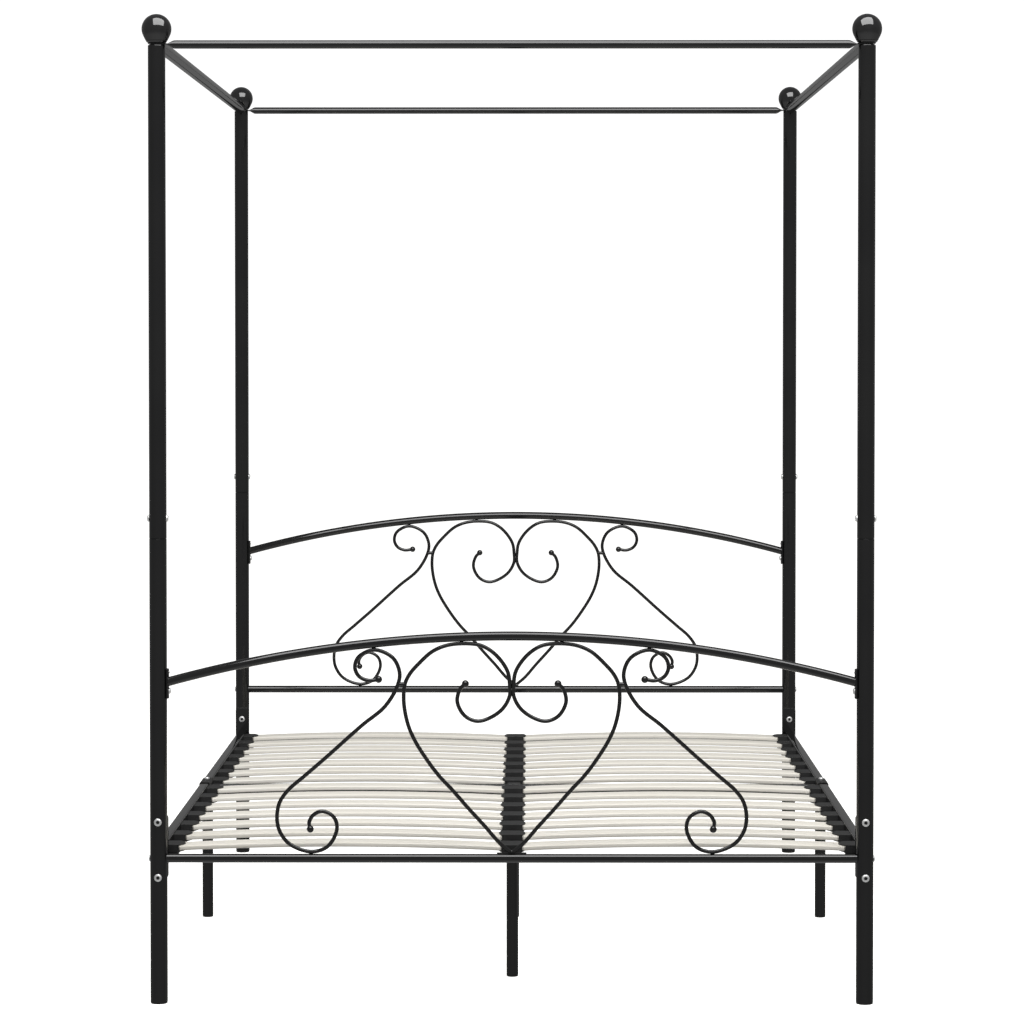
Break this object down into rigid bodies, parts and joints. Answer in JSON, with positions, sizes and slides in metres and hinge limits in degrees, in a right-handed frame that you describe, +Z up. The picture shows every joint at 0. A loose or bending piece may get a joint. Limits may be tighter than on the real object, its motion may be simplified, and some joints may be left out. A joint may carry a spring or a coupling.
{
  "type": "four poster canopy bed",
  "caption": "Tubular steel four poster bed with an open canopy frame, arched scrollwork head and foot panels and a sprung slat base on a centre beam.",
  "frame": {"origin": "on the floor, under the middle of the bed", "axes": "+Z up, +Y towards the head end, +X towards the right-hand side seen from the foot end"},
  "size_m": [1.4844, 2.0944, 1.9936],
  "materials": {
    "black_coated_steel": "semi-gloss black powder coat",
    "black_lacquered_ball": "gloss black lacquer",
    "pale_wood_slat": "pale foil-wrapped laminated wood, satin",
    "bright_zinc_fastener": "bright zinc plating",
    "black_moulded_plastic": "fine-grained moulded polypropylene"
  },
  "bodies": {
    "root": {"foot_left_lower_post": "black_coated_steel", "foot_left_upper_post": "black_coated_steel", "foot_left_finial": "black_lacquered_ball", "foot_right_lower_post": "black_coated_steel", "foot_right_upper_post": "black_coated_steel", "foot_right_finial": "black_lacquered_ball", "foot_canopy_rail": "black_coated_steel", "head_left_lower_post": "black_coated_steel", "head_left_upper_post": "black_coated_steel", "head_left_finial": "black_lacquered_ball", "head_right_lower_post": "black_coated_steel", "head_right_upper_post": "black_coated_steel", "head_right_finial": "black_lacquered_ball", "head_canopy_rail": "black_coated_steel", "left_canopy_rail": "black_coated_steel", "right_canopy_rail": "black_coated_steel", "footboard_arched_rail": "black_coated_steel", "footboard_straight_rail": "black_coated_steel", "footboard_scrollwork": "black_coated_steel", "headboard_arched_rail": "black_coated_steel", "headboard_straight_rail": "black_coated_steel", "headboard_scrollwork": "black_coated_steel", "head_base_rail": "black_coated_steel", "left_side_rail_foot_half": "black_coated_steel", "left_side_rail_head_half": "black_coated_steel", "right_side_rail_foot_half": "black_coated_steel", "right_side_rail_head_half": "black_coated_steel", "centre_beam_foot_half": "black_coated_steel", "centre_beam_head_half": "black_coated_steel", "middle_support_with_side_legs": "black_coated_steel", "centre_leg_foot": "black_coated_steel", "centre_leg_middle": "black_coated_steel", "left_slat_01": "pale_wood_slat", "right_slat_01": "pale_wood_slat", "left_slat_02": "pale_wood_slat", "right_slat_02": "pale_wood_slat", "left_slat_03": "pale_wood_slat", "right_slat_03": "pale_wood_slat", "left_slat_04": "pale_wood_slat", "right_slat_04": "pale_wood_slat", "left_slat_05": "pale_wood_slat", "right_slat_05": "pale_wood_slat", "left_slat_06": "pale_wood_slat", "right_slat_06": "pale_wood_slat", "left_slat_07": "pale_wood_slat", "right_slat_07": "pale_wood_slat", "left_slat_08": "pale_wood_slat", "right_slat_08": "pale_wood_slat", "left_slat_09": "pale_wood_slat", "right_slat_09": "pale_wood_slat", "left_slat_10": "pale_wood_slat", "right_slat_10": "pale_wood_slat", "left_slat_11": "pale_wood_slat", "right_slat_11": "pale_wood_slat", "left_slat_12": "pale_wood_slat", "right_slat_12": "pale_wood_slat", "left_slat_13": "pale_wood_slat", "right_slat_13": "pale_wood_slat", "left_slat_14": "pale_wood_slat", "right_slat_14": "pale_wood_slat"}
  },
  "joints": []
}
